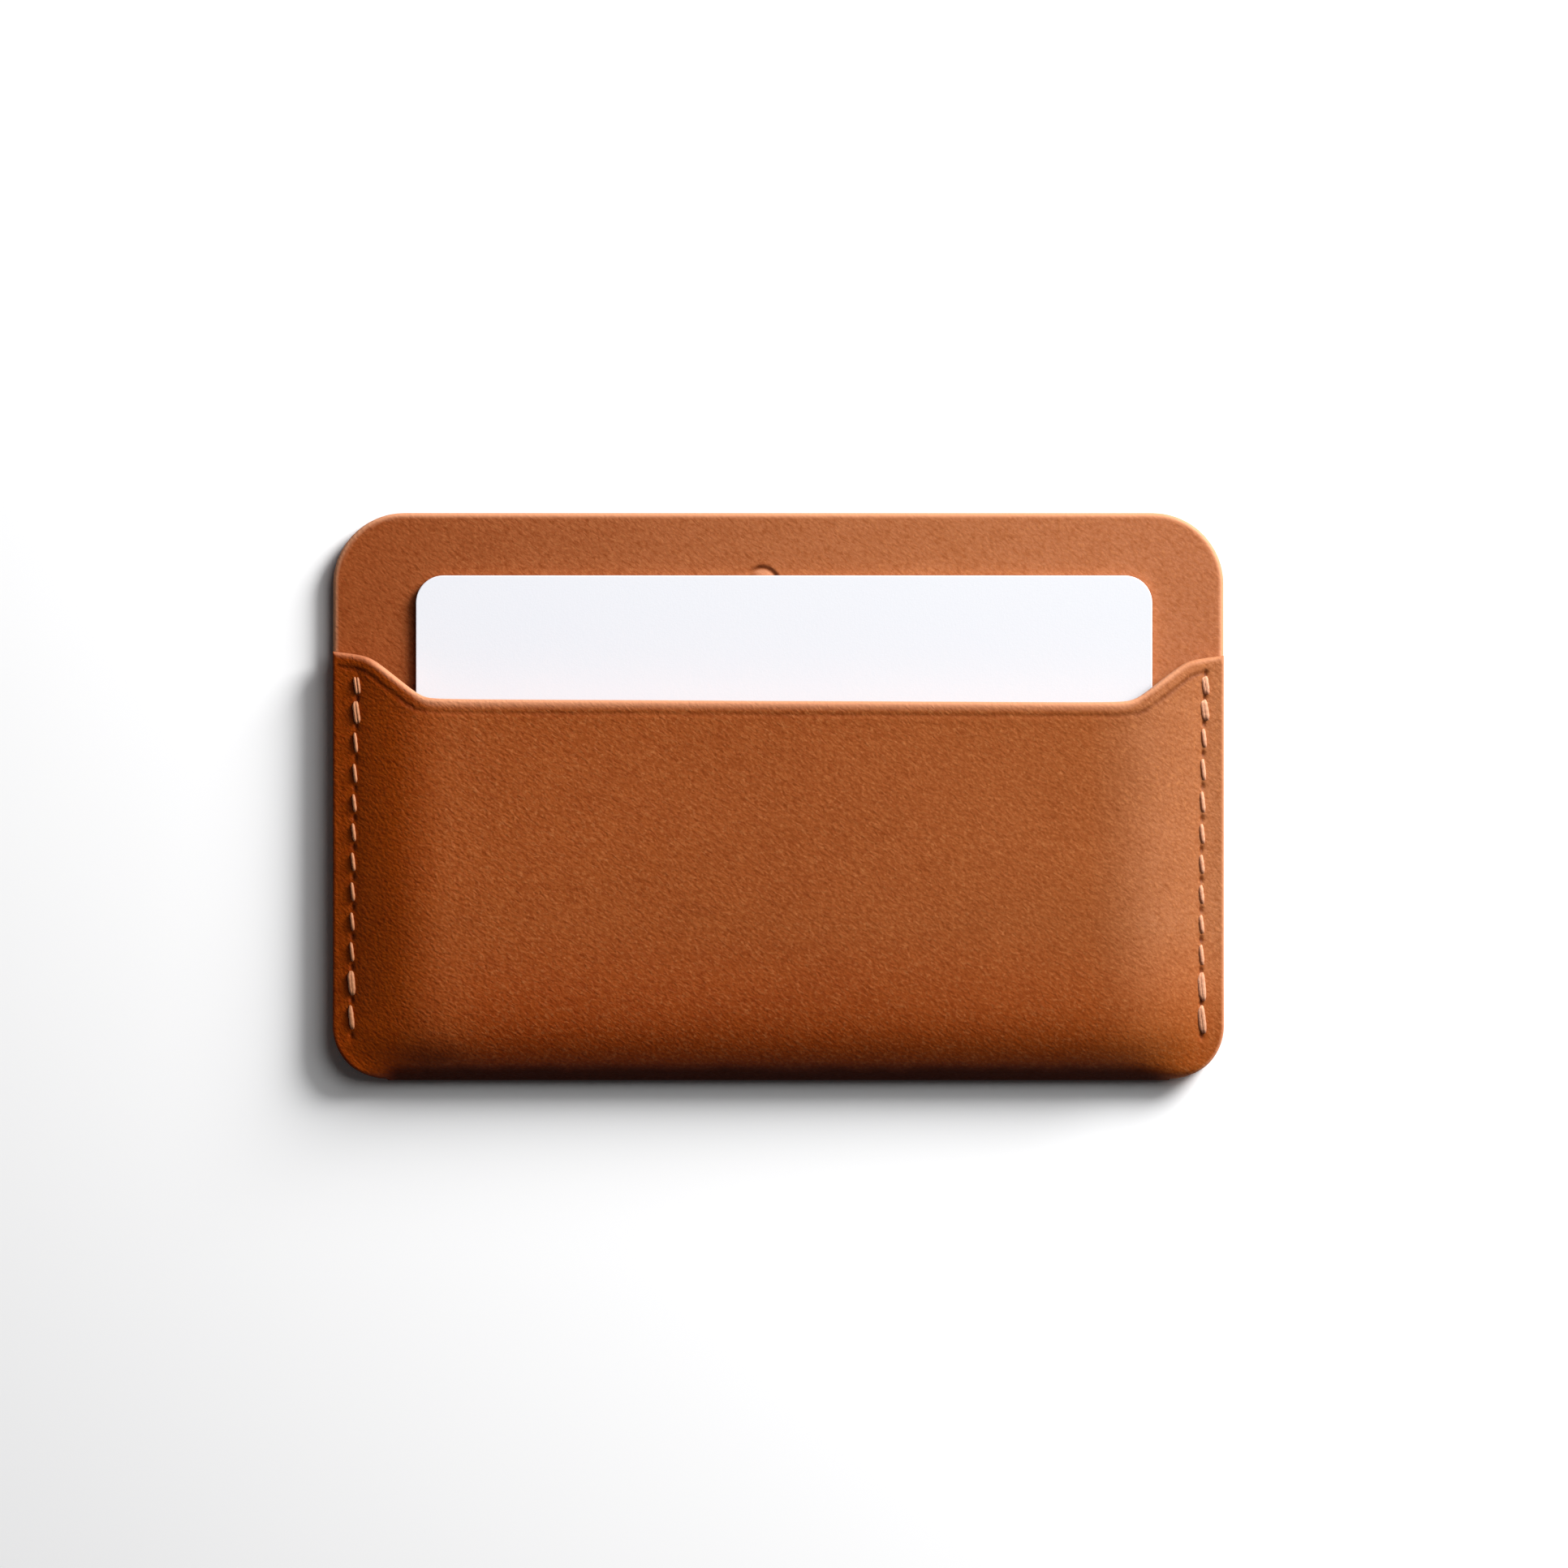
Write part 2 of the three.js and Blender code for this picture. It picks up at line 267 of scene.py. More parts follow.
# The card's white darkens towards the right: painted shade that evens out the stronger light there.
CARD_LEFT_COLOUR = (0.790, 0.796, 0.838, 1)
CARD_RIGHT_COLOUR = (0.680, 0.690, 0.722, 1)
CARD_HAZE_TINT = (0.97, 0.975, 0.985, 1)
FLOOR_COLOUR = (0.975, 0.975, 0.98, 1)

# The studio and the view: VIEW_WIDTH is what the camera sees at the height of VIEW_LEVEL.
FLOOR_HALF = 2000
FLOOR_Z = -0.02
FILL = 0.035
VIEW_WIDTH = 182.1
VIEW_X = 0.66
VIEW_Y = 1.46
VIEW_LEVEL = 4
CAMERA_Z = 1200
SENSOR = 36.0
CLIP_END = 20000


def smooth(value, low=0.0, high=1.0):
    """Smooth step from 0 at low to 1 at high."""
    share = np.clip((value - low) / (high - low), 0.0, 1.0)
    return share * share * (3 - 2 * share)


def bell(value, half):
    """A bell curve: 1 at zero, and 1/e at the given half width."""
    return np.exp(-((value / half) ** 2))


def half_width(y):
    """Half the width of the outline at a given y, with its round corners."""
    y = np.asarray(y, float)
    width = np.full(y.shape, SIDE_X)
    up = np.clip(y - (TOP_Y - TOP_CORNER), 0, TOP_CORNER)
    down = np.clip((FOLD_Y + BOTTOM_CORNER) - y, 0, BOTTOM_CORNER)
    width -= TOP_CORNER - np.sqrt(TOP_CORNER ** 2 - up ** 2)
    width -= BOTTOM_CORNER - np.sqrt(BOTTOM_CORNER ** 2 - down ** 2)
    return width


def side_distance(x, y):
    """Distance to the cut sides and corners of the outline, but not to the fold."""
    across = np.abs(x)
    straight = SIDE_X - across
    bottom = BOTTOM_CORNER - np.hypot(
        across - (SIDE_X - BOTTOM_CORNER), y - (FOLD_Y + BOTTOM_CORNER)
    )
    in_bottom = (across > SIDE_X - BOTTOM_CORNER) & (y < FOLD_Y + BOTTOM_CORNER)
    top = TOP_CORNER - np.hypot(across - (SIDE_X - TOP_CORNER), y - (TOP_Y - TOP_CORNER))
    in_top = (across > SIDE_X - TOP_CORNER) & (y > TOP_Y - TOP_CORNER)
    return np.clip(np.where(in_bottom, bottom, np.where(in_top, top, straight)), 0, None)


def mouth_line(x):
    """Height in y of the pocket mouth at each x."""
    across = np.abs(x)

    def bend(value, corner):
        return 0.5 * (value - corner + np.sqrt((value - corner) ** 2 + MOUTH_BEND ** 2))

    rise = (EAR_Y - MOUTH_Y) / (EAR_X - MOUTH_X)
    y = MOUTH_Y + rise * bend(across, MOUTH_X) - (rise - EAR_SLOPE) * bend(across, EAR_X)
    return y + MOUTH_SKEW * x


def mouth_slope(x):
    """Slope of the pocket mouth at each x."""
    step = 0.01
    return (mouth_line(x + step) - mouth_line(x - step)) / (2 * step)


def hole_y(index, side):
    """Height in y of a stitch hole, counted down from the mouth; halves lie between holes."""
    ends = np.concatenate([[0.0], np.cumsum(STITCH_LENGTHS[side])]) / sum(STITCH_LENGTHS[side])
    share = np.interp(index, np.arange(STITCHES + 1), ends)
    return STITCH_TOP_Y + (STITCH_END_Y - STITCH_TOP_Y) * share


def stitch_line_x(side, y):
    """The row of stitches, which wanders a little, as sewing by hand does."""
    up = (y - STITCH_END_Y) / (STITCH_TOP_Y - STITCH_END_Y)
    if side > 0:
        wander = -0.10 - 0.50 * up + 0.96 * up ** 2
    else:
        wander = 0.30 - 0.27 * up - 0.46 * up ** 2
    return side * (STITCH_X + wander)


def unevenness(x, y, seed, size):
    """A gentle unevenness of hand-worked leather, between about -1 and 1."""
    rng = np.random.default_rng(seed)
    total = np.zeros(np.broadcast(x, y).shape)
    for _ in range(9):
        angle = rng.uniform(0, math.tau)
        length = size * rng.uniform(0.6, 1.7)
        phase = rng.uniform(0, math.tau)
        along = x * math.cos(angle) + y * math.sin(angle)
        total = total + np.sin(math.tau * along / length + phase)
    return total / 4.2


def waves(x, y, table):
    """The sum of the waves in a table of heights, seeds and lengths."""
    return sum(height * unevenness(x, y, seed, length) for height, seed, length in table)


def stitch_pull(x, y, side):
    """How far the stitches pull the leather in, and how deep each hole is."""
    line = stitch_line_x(side, y)
    first, last = hole_y(0, side), hole_y(STITCHES, side)
    window = smooth(y, last - 1.2, last) * (1 - smooth(y, first, first + 1.2))
    trough = TROUGH_DEPTH * bell(x - line, TROUGH_HALF) * window
    holes = np.zeros(np.broadcast(x, y).shape)
    for index in range(STITCHES + 1):
        long = (y - hole_y(index, side)) / HOLE_LENGTH
        wide = (x - line) / HOLE_WIDTH
        weight = FAINT_HOLE if side < 0 and index == 0 else 1.0
        holes = np.maximum(holes, weight * np.exp(-((long ** 2 + wide ** 2) ** 1.3)))
    return trough, holes


def roll(y, width, height):
    """Height share of a surface that rolls over to the fold across the given width."""
    share = np.clip(1 - (y - FOLD_Y) / width, 0, 1)
    return height * (1 - share ** ROLL_POWER) ** ROLL_ROOT


def front_height(x, y):
    """The outer surface of the pocket front, over the plan position."""
    flange = FOLD_TURN + roll(y, FLANGE_ROLL, EDGE_Z - FOLD_TURN)
    level = POCKET_TOP - WAVE_ROOM - CROWN
    crown = CROWN * (1 - (x / CARD_HALF) ** 2) * smooth(y, FOLD_Y, FOLD_Y + ROLL_WIDTH)
    fall = MOUTH_FALL * smooth(y, FOLD_Y + ROLL_WIDTH - 2, MOUTH_Y)
    raised = FOLD_TURN + roll(y, ROLL_WIDTH, level - FOLD_TURN) + crown - fall
    near_foot = 1 - smooth(y, FOLD_Y + FOOT_NEAR, FOLD_Y + FOOT_FAR)
    foot_corner = np.where(x < 0, FOOT_INSET[-1], FOOT_INSET[1]) * near_foot
    start = FLANK_START - np.where(x < 0, FOOT_SOFTNESS[-1], FOOT_SOFTNESS[1]) * near_foot
    inside = np.clip((half_width(y) - foot_corner - np.abs(x)) / FLANK_WIDTH, 0, 1)
    share = 1 - (1 - inside ** start) ** FLANK_END
    height = flange + (raised - flange) * share
    window = smooth(side_distance(x, y), 0.5, WAVE_FADE) * smooth(y, FOLD_Y, FOLD_Y + WAVE_FADE)
    return height + waves(x, y, FRONT_WAVES) * window


def edge_drop(distance, radius):
    """How far a rounded edge falls below the flat at a distance from the cut."""
    inside = np.clip(radius - distance, 0, radius)
    return radius - np.sqrt(radius ** 2 - inside ** 2)


def grid_normals(points):
    """Unit normals of a grid of points."""
    along_rows = np.gradient(points, axis=0)
    along_columns = np.gradient(points, axis=1)
    normals = np.cross(along_columns, along_rows)
    return normals / np.maximum(np.linalg.norm(normals, axis=2, keepdims=True), 1e-12)


def build_mesh(name, vertices, faces, attributes=None):
    """A smooth-shaded object from vertices in millimetres, linked to the scene."""
    mesh = bpy.data.meshes.new(name)
    mesh.from_pydata((np.asarray(vertices) * MM).tolist(), [], [list(face) for face in faces])
    mesh.update()
    for key, values in (attributes or {}).items():
        layer = mesh.attributes.new(key, "FLOAT", "POINT")
        layer.data.foreach_set("value", np.asarray(values, np.float32).ravel())
    mesh.polygons.foreach_set("use_smooth", [True] * len(mesh.polygons))
    thing = bpy.data.objects.new(name, mesh)
    bpy.context.scene.collection.objects.link(thing)
    return thing


def closed_sheet(name, outer, inner, attributes):
    """One closed leather sheet from two grids of points and the rim between them."""
    rows, columns = outer.shape[:2]
    index = np.arange(rows * columns).reshape(rows, columns)
    under = index + rows * columns
    faces = []
    for first, flip in ((index, False), (under, True)):
        a = first[:-1, :-1].ravel()
        b = first[:-1, 1:].ravel()
        c = first[1:, 1:].ravel()
        d = first[1:, :-1].ravel()
        quads = np.stack([a, b, c, d] if flip else [a, d, c, b], axis=1)
        faces.extend(quads.tolist())
    rim = (
        index[0, :].tolist() + index[1:, -1].tolist()
        + index[-1, -2::-1].tolist() + index[-2:0:-1, 0].tolist()
    )
    for here, there in zip(rim, rim[1:] + rim[:1]):
        faces.append([here, there, there + rows * columns, here + rows * columns])
    points = np.concatenate([outer.reshape(-1, 3), inner.reshape(-1, 3)])
    doubled = {key: np.concatenate([v.ravel(), v.ravel()]) for key, v in attributes.items()}
    return build_mesh(name, points, faces, doubled)


def side_columns():
    """Columns as shares of the half width: fine at the rim, the stitches and the flank."""
    stitch = SIDE_X - STITCH_X
    seam = [stitch + step * 0.17 for step in range(-6, 7)]
    flank = np.arange(stitch + 1.3, FLANK_WIDTH + 1.0, 0.42).tolist()
    inner = np.arange(FLANK_WIDTH + 1.3, SIDE_X, 0.95).tolist()
    inward = np.array(list(SIDE_EDGE_ROWS) + seam + flank + inner)
    right = 1 - inward / SIDE_X
    return np.concatenate([-right, [0.0], right[::-1]])


def front_rows():
    """Rows of the pocket front, as distances from the mouth, and how far down they reach."""
    seam_mouth = float(mouth_line(np.float64(STITCH_X)))
    holes = [seam_mouth - hole_y(index, 1) for index in range(STITCHES + 1)]
    seam = [hole + step for hole in holes for step in FRONT_HOLE_ROWS]
    seam += [seam_mouth - hole_y(index + 0.5, 1) for index in range(STITCHES)]
    reach = seam_mouth - (FOLD_Y + WALL_START)
    below_mouth = sorted(distance for distance in seam if 3.3 < distance < reach - 0.1)
    return list(MOUTH_ROWS) + below_mouth, reach


def back_rows():
    """Rows of the back, as heights in y from the fold to the top edge."""
    start = FOLD_Y + FOLD_TURN
    seam = [hole_y(index, 1) + step for index in range(STITCHES + 1) for step in BACK_HOLE_ROWS]
    plain = np.arange(hole_y(0, 1) + 1.6, TOP_Y - TOP_CORNER, 1.1).tolist()
    corner = [TOP_Y - TOP_CORNER * (1 - math.sin(turn)) for turn in np.linspace(0, 1.15, 12)]
    middle = [y for y in seam if y > start + 0.5] + plain
    middle += [y for y in corner if y < TOP_Y - 0.75]
    rim = [TOP_Y - distance for distance in reversed(BACK_EDGE_ROWS)]
    return [start + 0.3] + sorted(middle) + rim


def case_grid():
    """The outer surface of the case leather, and how far each point is from the mouth."""
    share = side_columns()
    front, reach = front_rows()
    rows, mouth_distance = [], []

    def lay(y, distance=FAR, z=None):
        """Adds a row of points, at the height of the pocket front unless z is given."""
        x = share * half_width(y)
        height = front_height(x, y) if z is None else np.full(share.shape, z)
        rows.append(np.stack([x, y, height], axis=1))
        mouth_distance.append(np.full(share.shape, distance))

    for distance in front:
        y = np.full(share.shape, FOLD_Y + WALL_START + (1 - distance / reach) * reach)
        for _ in range(3):
            x = share * half_width(y)
            line = mouth_line(x)
            lean = np.sqrt(1 + mouth_slope(x) ** 2)
            even = distance / reach * (line - FOLD_Y - WALL_START)
            blend = smooth(distance, 2.6, 13.0)
            y = line - (distance * lean * (1 - blend) + even * blend)
        lay(y, distance)
    for step in range(WALL_STEPS):
        angle = math.pi / 2 * step / WALL_STEPS
        lay(np.full(share.shape, FOLD_Y + WALL_START * (1 - math.sin(angle))))
    for step in range(FOLD_STEPS + 1):
        angle = math.pi / 2 * step / FOLD_STEPS
        y = np.full(share.shape, FOLD_Y + FOLD_TURN * (1 - math.cos(angle)))
        lay(y, z=FOLD_TURN * (1 - math.sin(angle)))
    for y in back_rows():
        lay(np.full(share.shape, y), z=0.0)
    return np.array(rows), np.array(mouth_distance), len(front) + WALL_STEPS


def card_room(x, y, z, normals):
    """The leather thickness that keeps the flesh side clear of the card, pushed fully in."""
    over = (z - CARD_HIGH[2] - CARD_GAP) / np.maximum(normals[..., 2], 0.05)
    before = (CARD_LOW[1] - CARD_PUSH - CARD_GAP - y) / np.maximum(-normals[..., 1], 0.05)
    clear = np.clip(np.maximum(over, before), CARD_THINNEST, LEATHER)
    beside = smooth(CARD_HALF + 2.0 - np.abs(x), 0, 0.8)
    return LEATHER - (LEATHER - clear) * beside


def flesh_side(outer, normals, is_front, lift):
    """The inner surface of the case leather, clear of the facing and of the card."""
    x, y, z = outer[..., 0], outer[..., 1], outer[..., 2]
    floor = LINING_TOP + LINING_CLEARANCE
    room = np.clip((z - floor) / np.maximum(normals[..., 2], 0.2), THINNEST, LEATHER)
    level = np.where(is_front, smooth(normals[..., 2], 0.3, 0.7), 0.0)
    thickness = LEATHER * (1 - level) + room * level
    thickness = np.where(is_front, np.minimum(thickness, card_room(x, y, z, normals)), thickness)
    return outer - normals * (thickness - lift)[..., None]


def seam_marks(x, y, is_front, is_back):
    """How far the seams sink the leather on both faces, and the painted shade in their holes."""
    sink = np.zeros(x.shape)
    dark = np.zeros(x.shape)
    for side in (-1, 1):
        trough, holes = stitch_pull(x, y, side)
        sink += np.where(is_front, trough + FRONT_HOLE_DEPTH * holes, 0)
        sink += np.where(is_back, BACK_GROOVE * trough + BACK_HOLE_DEPTH * holes, 0)
        dark = np.maximum(dark, np.where(is_front | is_back, HOLE_SHADE[side] * holes, 0))
    return sink, dark


def mouth_crease(x, y, mouth_distance, slanting):
    """How far the crease along the mouth sinks the leather, and how dark it is."""
    crease = bell(mouth_distance - CREASE_AT, CREASE_HALF)
    swell = bell(mouth_distance - CREASE_AT, SWELL_HALF) - crease
    window = smooth(side_distance(x, y) - 1.2 * smooth(x, 30, 45), 0.2, 0.9)
    sink = (CREASE_DEPTH * crease - (SWELL + SLANTING_SWELL * slanting) * swell) * window
    return sink, (0.16 + 0.24 * slanting) * crease * window


def dark_foot(x, y, z, is_front):
    """Painted shade: along the left edge, at the fold, and at the foot of the left flank."""
    edge_shade = LEFT_EDGE_SHADE + CORNER_EDGE_SHADE * (1 - smooth(y, FOLD_Y + 1.5, FOLD_Y + BOTTOM_CORNER))
    edge_shade *= (1 - smooth(side_distance(x, y), 0.15, 0.6)) * (1 - smooth(x, LIT_FROM, LIT_TO))
    fold = smooth(z, 0.1, 0.9) * (1 - smooth(y, FOLD_Y + 0.4, FOLD_Y + 2.6))
    fold *= np.where(x < 0, smooth(x + SIDE_X, 5.2, 8.2), smooth(SIDE_X - x, 4.5, 9.5))
    shaded = SHADED * bell(x - SHADED_X, SHADED_HALF_X)
    shaded = shaded * bell(y - FOLD_Y - SHADED_RISE, SHADED_HALF_Y)
    return np.maximum(np.maximum(edge_shade, fold), np.where(is_front, shaded, 0))


def case_leather():
    """The folded case: back, foot and moulded pocket front as one sheet."""
    outer, mouth_distance, front_count = case_grid()
    normals = -grid_normals(outer)
    x, y, z = outer[..., 0], outer[..., 1], outer[..., 2]
    is_front = np.zeros(x.shape, bool)
    is_front[:front_count] = True
    is_back = np.zeros(x.shape, bool)
    is_back[front_count + FOLD_ROWS_BEFORE_BACK:] = True

    top_distance = np.where(is_back, TOP_Y - y, FAR)
    rim_distance = np.minimum(np.minimum(side_distance(x, y), mouth_distance), top_distance)
    at_mouth = mouth_distance < side_distance(x, y)
    rounding = np.where(at_mouth, MOUTH_ROUNDING, SIDE_ROUNDING)
    slanting = smooth(np.abs(x), MOUTH_X - 1.5, MOUTH_X + 1.5)

    sink, holes = seam_marks(x, y, is_front, is_back)
    crease_sink, crease = mouth_crease(x, y, mouth_distance, slanting)
    sink = sink + crease_sink + edge_drop(rim_distance, rounding)
    grain = outer - normals * sink[..., None]
    inner_rounding = np.where(mouth_distance < 3, FLESH_MOUTH_ROUNDING, INNER_ROUNDING)
    flesh = flesh_side(outer, normals, is_front, edge_drop(rim_distance, inner_rounding))

    # The pale cut edge, widened and brightened by painted highlight where it faces the light; the
    # sides are pale only towards the lit right.
    pale_width = np.where(at_mouth, 2.5 - 1.1 * slanting, 1.4)
    edge = 1 - smooth(rim_distance / rounding, 0.1, pale_width)
    mouth_share = 1 - 0.5 * smooth(np.abs(x), 45.5, 48.5)
    edge *= np.where(at_mouth, mouth_share, 0.7 * smooth(x, LIT_FROM, LIT_TO))
    # Painted shade in the holes, along the left edge, fold and foot, with the dark crease.
    deep = np.maximum(np.maximum(holes, dark_foot(x, y, z, is_front)), crease)
    return closed_sheet("case_leather", grain, flesh, {"edge": edge, "deep": deep})


def pressed_mark(x, y):
    """A plain round mark: a low dome that dips to a wall at its rim, with painted shade on one side
    of the wall and a painted highlight on the slope inside.
    """
    radius = np.hypot(x - MARK_X, y - MARK_Y)
    dip = MARK_DEPTH * np.clip(radius / (MARK_RADIUS - 0.35), 0, 1) ** 2
    press = dip * (1 - smooth(radius, MARK_RADIUS - 0.35, MARK_RADIUS + 0.1))
    angle = np.arctan2(y - MARK_Y, x - MARK_X) - math.radians(MARK_LIGHT_TURN)
    facing = smooth(np.cos(angle), 0.12, 0.85)
    wall_shade = bell(radius - MARK_RADIUS + 0.15, MARK_WALL_HALF) * facing
    slope_highlight = smooth(radius, 0.5, 1.2) * (1 - smooth(radius, 1.5, 1.85)) * facing
    return press, wall_shade, slope_highlight


def lining_grid():
    """Plan positions of the facing's points: fine at the rim and round the pressed mark."""
    fine = np.arange(-MARK_FIELD, MARK_FIELD + 0.01, MARK_STEP)
    rim = np.array(LINING_EDGE_ROWS)
    coarse = np.arange(-SIDE_X + 2 * LINING_STEP, SIDE_X - 2.5, LINING_STEP)
    coarse = coarse[np.abs(coarse - MARK_X) > MARK_FIELD + 0.3]
    columns = np.sort(np.concatenate([rim - SIDE_X, coarse, MARK_X + fine, SIDE_X - rim]))
    corner = TOP_Y - TOP_CORNER * (1 - np.sin(np.linspace(0, 1.1, 10)))
    plain = np.arange(LINING_LOW[1], TOP_Y - TOP_CORNER, LINING_STEP)
    levels = np.concatenate([plain, corner, MARK_Y + fine])
    near_mark = np.abs(levels - MARK_Y) < MARK_FIELD + 0.1
    near_mark &= ~np.isin(levels, MARK_Y + fine)
    levels = np.concatenate([levels[~near_mark & (levels < TOP_Y - 1.2)], TOP_Y - rim])
    levels = np.unique(np.round(levels, 4))[::-1]
    y = np.repeat(levels[:, None], columns.size, axis=1)
    return (columns / SIDE_X)[None, :] * half_width(y), y


def back_lining():
    """The leather facing glued inside the back."""
    x, y = lining_grid()
    distance = np.minimum(side_distance(x, y), TOP_Y - y)
    press, wall_shade, slope_highlight = pressed_mark(x, y)
    wave = waves(x, y, LINING_WAVES) * smooth(distance, 0.8, WAVE_FADE)
    high = LINING_TOP + wave - press - edge_drop(distance, LINING_ROUNDING)
    low = np.full(x.shape, LEATHER + LINING_CLEARANCE)
    low = low + edge_drop(distance, LINING_BACK_ROUNDING)
    # The pale rim, and the painted highlight inside the mark.
    edge = np.maximum(1 - smooth(distance, 0.15, 0.75), MARK_HIGHLIGHT_SHARE * slope_highlight)
    return closed_sheet(
        "lining_leather", np.stack([x, y, high], axis=2), np.stack([x, y, low], axis=2),
        {"edge": edge, "deep": MARK_WALL_SHADE * wall_shade},
    )


def tube(path, widths, heights):
    """Vertices and faces of a twisted thread along a path that lies nearly in the YZ plane."""
    path = np.asarray(path, float)
    tangents = np.gradient(path, axis=0)
    tangents /= np.linalg.norm(tangents, axis=1, keepdims=True)
    across = np.array([1.0, 0.0, 0.0]) - tangents * tangents[:, :1]
    across /= np.linalg.norm(across, axis=1, keepdims=True)
    up = np.cross(across, tangents)
    length = np.concatenate([[0], np.cumsum(np.linalg.norm(np.diff(path, axis=0), axis=1))])
    angles = np.linspace(0, math.tau, THREAD_SIDES, endpoint=False)
    twist = angles[None, :] + length[:, None] * math.tau / THREAD_TWIST
    bulge = 0.9 + 0.11 * np.abs(np.cos(1.5 * twist))
    wide = (np.cos(angles)[None, :] * widths[:, None] * bulge)[..., None]
    high = (np.sin(angles)[None, :] * heights[:, None] * bulge)[..., None]
    rings = path[:, None, :] + across[:, None, :] * wide + up[:, None, :] * high
    count, sides = rings.shape[:2]
    index = np.arange(count * sides).reshape(count, sides)
    following = np.roll(index, -1, axis=1)
    quads = np.stack([index[:-1], following[:-1], following[1:], index[1:]], axis=2)
    faces = quads.reshape(-1, 4).tolist()
    faces.append(index[0][::-1].tolist())
    faces.append(index[-1].tolist())
    return rings.reshape(-1, 3), faces


def stitch_profile(away, reach):
    """Height of a stitch above the leather, by the distance from its middle and its half length."""
    dive = STITCH_DIVE * smooth(away, reach - 0.15, reach + 0.45)
    return STITCH_CROWN - STITCH_ARCH * (away / reach) ** 2 - dive


def stitch_path(side, first, last, shift=0.0, lean=0.0):
    """A needle thread's path from one place in the row to another, counted in stitches."""
    count = int(round((last - first) * STEPS_PER_STITCH)) + 1
    place = np.linspace(first, last, count)
    index = np.minimum(np.floor(place + 1e-9), STITCHES - 1)
    phase = place - index
    y = hole_y(place, side)
    length = hole_y(index, side) - hole_y(index + 1, side)
    away = np.abs(phase - 0.5) * length
    reach = length / 2 - np.take(STITCH_GAPS[side], index.astype(int))
    line = stitch_line_x(side, hole_y(index + 0.5, side))
    slant = STITCH_SLANT * (2 * smooth(phase, 0.05, 0.95) - 1)
    bed = front_height(stitch_line_x(side, y), y) - STITCH_SINK
    x = line + slant + shift + lean * (phase - 0.5)
    taper = 1 - STITCH_TAPER * smooth(away, 0.5 * reach, reach + 0.4)
    return np.stack([x, y, bed + stitch_profile(away, reach)], axis=1), taper, index


def needle_thread(side, name):
    """The thread on the front: one strand all the way, and a second over the tacked ends."""
    path, taper, index = stitch_path(side, 0, STITCHES)
    half = THREAD_HALF_WIDTH[side]
    away = np.abs(path[:, 1] - hole_y(index + 0.5, side))
    swell = np.ones(len(path))
    for number, spread, size in zip(TACKED, TACK_SPREAD[side], TACK_SWELL[side]):
        tacked = (index == number) * (1 - smooth(away, 0.8, 1.5))
        path[:, 0] -= spread * half * tacked
        swell += (size - 1) * tacked
    points, faces = tube(path, half * taper * swell, THREAD_HALF_HEIGHT * taper)
    vertices = [points]
    offset = len(points)
    for number, spread, size in zip(TACKED, TACK_SPREAD[side], TACK_SWELL[side]):
        start, end = number + TACK_INSET, number + 1 - TACK_INSET
        strand, narrow, _ = stitch_path(side, start, end, spread * half, TACK_LEAN[number % 2])
        strand[:, 2] += TACK_LIFT
        points, quads = tube(strand, half * size * narrow, THREAD_HALF_HEIGHT * narrow)
        vertices.append(points)
        faces.extend([[v + offset for v in face] for face in quads])
        offset += len(points)
    return build_mesh(name, np.concatenate(vertices), faces)


def bobbin_thread(side, name):
    """The thread on the back, sunk in its groove."""
    path, taper, _ = stitch_path(side, 0, STITCHES)
    height = path[:, 2] - front_height(stitch_line_x(side, path[:, 1]), path[:, 1])
    path[:, 2] = np.clip(BOBBIN_REST - BOBBIN_SWING * height, BOBBIN_FLOOR, BOBBIN_TOP)
    half = BOBBIN_SCALE * THREAD_HALF_WIDTH[side]
    points, faces = tube(path, half * taper, BOBBIN_SCALE * THREAD_HALF_HEIGHT * taper)
    return build_mesh(name, points, faces)


def card_outline(inset, z):
    """A loop round the card with round corners, at an inset from its edge."""
    left, bottom = CARD_LOW[:2]
    right, top = CARD_HIGH[:2]
    radius = CARD_CORNER - inset
    loop = []
    for x, y, quarter in ((right, top, 0), (left, top, 1), (left, bottom, 2), (right, bottom, 3)):
        cx = x - CARD_CORNER if x == right else x + CARD_CORNER
        cy = y - CARD_CORNER if y == top else y + CARD_CORNER
        for step in range(CARD_CORNER_STEPS + 1):
            angle = math.pi / 2 * (quarter + step / CARD_CORNER_STEPS)
            loop.append((cx + radius * math.cos(angle), cy + radius * math.sin(angle), z))
    return loop


def plain_card():
    """A blank plastic card with die-cut, slightly rounded edges."""
    low, high = CARD_LOW[2], CARD_HIGH[2]
    rounded = [(CARD_ROUNDING, 0), (CARD_BEVEL, CARD_BEVEL), (0, CARD_ROUNDING)]
    levels = [(CARD_MIDDLE, low), (CARD_RIM, low)]
    levels += [(inset, low + rise) for inset, rise in rounded]
    levels += [(inset, high - rise) for inset, rise in rounded[::-1]]
    levels += [(CARD_RIM, high), (CARD_MIDDLE, high)]
    loops = [card_outline(inset, z) for inset, z in levels]
    count = len(loops[0])
    faces = []
    for level in range(len(loops) - 1):
        for step in range(count):
            here, there = level * count + step, level * count + (step + 1) % count
            faces.append([here, there, there + count, here + count])
    faces.append(list(range(count))[::-1])
    faces.append([(len(loops) - 1) * count + step for step in range(count)])
    return build_mesh("blank_card", sum(loops, []), faces)


